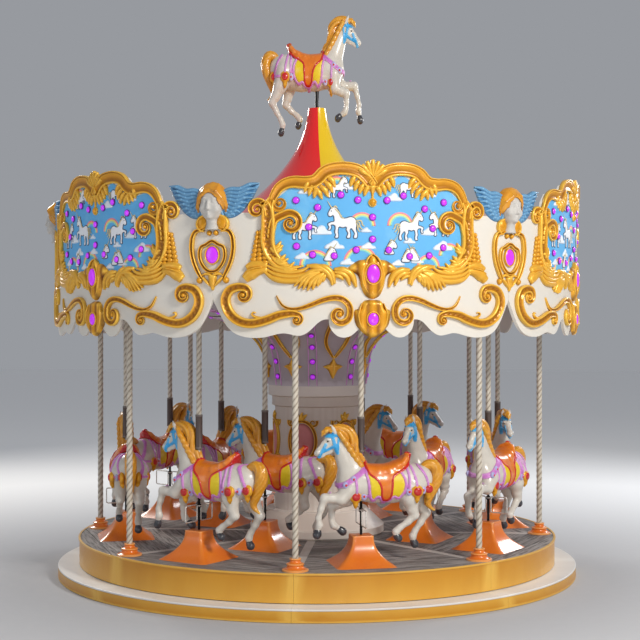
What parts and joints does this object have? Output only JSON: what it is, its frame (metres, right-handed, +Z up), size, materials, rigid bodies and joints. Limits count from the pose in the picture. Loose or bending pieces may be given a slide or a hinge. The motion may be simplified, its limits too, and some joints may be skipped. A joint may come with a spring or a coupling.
{
  "type": "merry go round",
  "caption": "Fairground carousel with carved horses that rise on pedestals, twisted poles, a gilded rim with picture panels and a horse-topped canopy.",
  "frame": {"origin": "on the ground at the centre of the ride", "axes": "+Z up along the axis it turns about; -Y is the front, 4.75 degrees short of the pictured side"},
  "size_m": [5.748, 5.748, 6.117],
  "materials": {
    "gold_paint": "satin gold enamel",
    "white_paint": "satin white enamel",
    "frame_steel": "grey primer",
    "motor_iron": "machinery enamel",
    "drive_rubber": "moulded",
    "deck_wood": "weathered grey",
    "strip_paint": "worn light grey",
    "pole_paint": "cream gloss",
    "orange_gloss": "orange gloss",
    "sleeve_metal": "dark satin",
    "column_cream": "cream satin",
    "flare_taupe": "taupe satin",
    "lamp_purple": "lit purple dome",
    "gold_carving": "gilded casting with darkened recesses",
    "canopy_gloss": "red and yellow gloss gores",
    "rod_black": "black satin",
    "horse_ivory": "painted glass fibre",
    "board_ivory": "painted ivory",
    "picture_sky": "painted picture",
    "wing_blue": "painted casting",
    "face_stone": "painted casting",
    "mane_gold": "painted carving",
    "saddle_orange": "painted carving",
    "trim_red": "painted carving",
    "strap_pink": "painted carving",
    "bridle_blue": "painted carving",
    "blanket_yellow": "painted carving",
    "hoof_black": "painted carving"
  },
  "bodies": {
    "base": {"plinth_fascia": "gold_paint", "plinth_tread": "white_paint", "base_frame": "frame_steel", "levelling_feet": "frame_steel", "centre_mast": "frame_steel", "slew_ring_fixed": "frame_steel", "drive_motor": "motor_iron"},
    "drive_wheel": {"drive_wheel": "drive_rubber"},
    "turntable": {"slew_ring_turning": "frame_steel", "deck_frame": "frame_steel", "deck_boards": "deck_wood", "deck_strips": "strip_paint", "platform_fascia": "gold_paint", "outer_poles": "pole_paint", "pole_bases": "orange_gloss", "guide_poles": "pole_paint", "pedestals": "orange_gloss", "lift_cylinders": "sleeve_metal", "column_base": "column_cream", "column_casing": "column_cream", "column_flare": "flare_taupe", "column_lamps": "lamp_purple", "column_gilding": "gold_carving", "column_cartouches": "gold_carving", "roof_hub": "frame_steel", "roof_sweeps": "frame_steel", "ceiling": "flare_taupe", "canopy": "canopy_gloss", "finial_pole": "rod_black", "finial_horse": "horse_ivory", "rounding_boards": "board_ivory", "picture_panels": "picture_sky", "gilt_frames": "gold_carving", "lower_scrolls": "gold_carving", "cherubs": "gold_carving", "cornice_lamps": "lamp_purple"},
    "horse_01": {"horse_01": "horse_ivory", "horse_01_pole": "sleeve_metal"},
    "horse_02": {"horse_02": "horse_ivory", "horse_02_pole": "sleeve_metal"},
    "horse_03": {"horse_03": "horse_ivory", "horse_03_pole": "sleeve_metal"},
    "horse_04": {"horse_04": "horse_ivory", "horse_04_pole": "sleeve_metal"},
    "horse_05": {"horse_05": "horse_ivory", "horse_05_pole": "sleeve_metal"},
    "horse_06": {"horse_06": "horse_ivory", "horse_06_pole": "sleeve_metal"},
    "horse_07": {"horse_07": "horse_ivory", "horse_07_pole": "sleeve_metal"},
    "horse_08": {"horse_08": "horse_ivory", "horse_08_pole": "sleeve_metal"},
    "horse_09": {"horse_09": "horse_ivory", "horse_09_pole": "sleeve_metal"},
    "horse_10": {"horse_10": "horse_ivory", "horse_10_pole": "sleeve_metal"},
    "horse_11": {"horse_11": "horse_ivory", "horse_11_pole": "sleeve_metal"},
    "horse_12": {"horse_12": "horse_ivory", "horse_12_pole": "sleeve_metal"}
  },
  "joints": [
    {"name": "turntable_spin", "type": "hinge", "parent": "base", "child": "turntable", "pos_m": [0, 0, 0.22], "axis": [0, 0, 1], "continuous": true},
    {"name": "drive_wheel_spin", "type": "hinge", "parent": "base", "child": "drive_wheel", "pos_m": [0.30244, -0.73014, 0.195], "axis": [0, 0, 1], "continuous": true},
    {"name": "horse_01_rise", "type": "slide", "parent": "turntable", "child": "horse_01", "axis": [0, 0, 1], "range_m": [0, 0.25]},
    {"name": "horse_02_rise", "type": "slide", "parent": "turntable", "child": "horse_02", "axis": [0, 0, 1], "range_m": [0, 0.25]},
    {"name": "horse_03_rise", "type": "slide", "parent": "turntable", "child": "horse_03", "axis": [0, 0, 1], "range_m": [0, 0.25]},
    {"name": "horse_04_rise", "type": "slide", "parent": "turntable", "child": "horse_04", "axis": [0, 0, 1], "range_m": [0, 0.25]},
    {"name": "horse_05_rise", "type": "slide", "parent": "turntable", "child": "horse_05", "axis": [0, 0, 1], "range_m": [0, 0.25]},
    {"name": "horse_06_rise", "type": "slide", "parent": "turntable", "child": "horse_06", "axis": [0, 0, 1], "range_m": [0, 0.25]},
    {"name": "horse_07_rise", "type": "slide", "parent": "turntable", "child": "horse_07", "axis": [0, 0, 1], "range_m": [0, 0.25]},
    {"name": "horse_08_rise", "type": "slide", "parent": "turntable", "child": "horse_08", "axis": [0, 0, 1], "range_m": [0, 0.25]},
    {"name": "horse_09_rise", "type": "slide", "parent": "turntable", "child": "horse_09", "axis": [0, 0, 1], "range_m": [0, 0.25]},
    {"name": "horse_10_rise", "type": "slide", "parent": "turntable", "child": "horse_10", "axis": [0, 0, 1], "range_m": [0, 0.25]},
    {"name": "horse_11_rise", "type": "slide", "parent": "turntable", "child": "horse_11", "axis": [0, 0, 1], "range_m": [0, 0.25]},
    {"name": "horse_12_rise", "type": "slide", "parent": "turntable", "child": "horse_12", "axis": [0, 0, 1], "range_m": [0, 0.25]}
  ],
  "couplings": [
    {"joint": "drive_wheel_spin", "follows": "turntable_spin", "ratio": -4.2667}
  ]
}
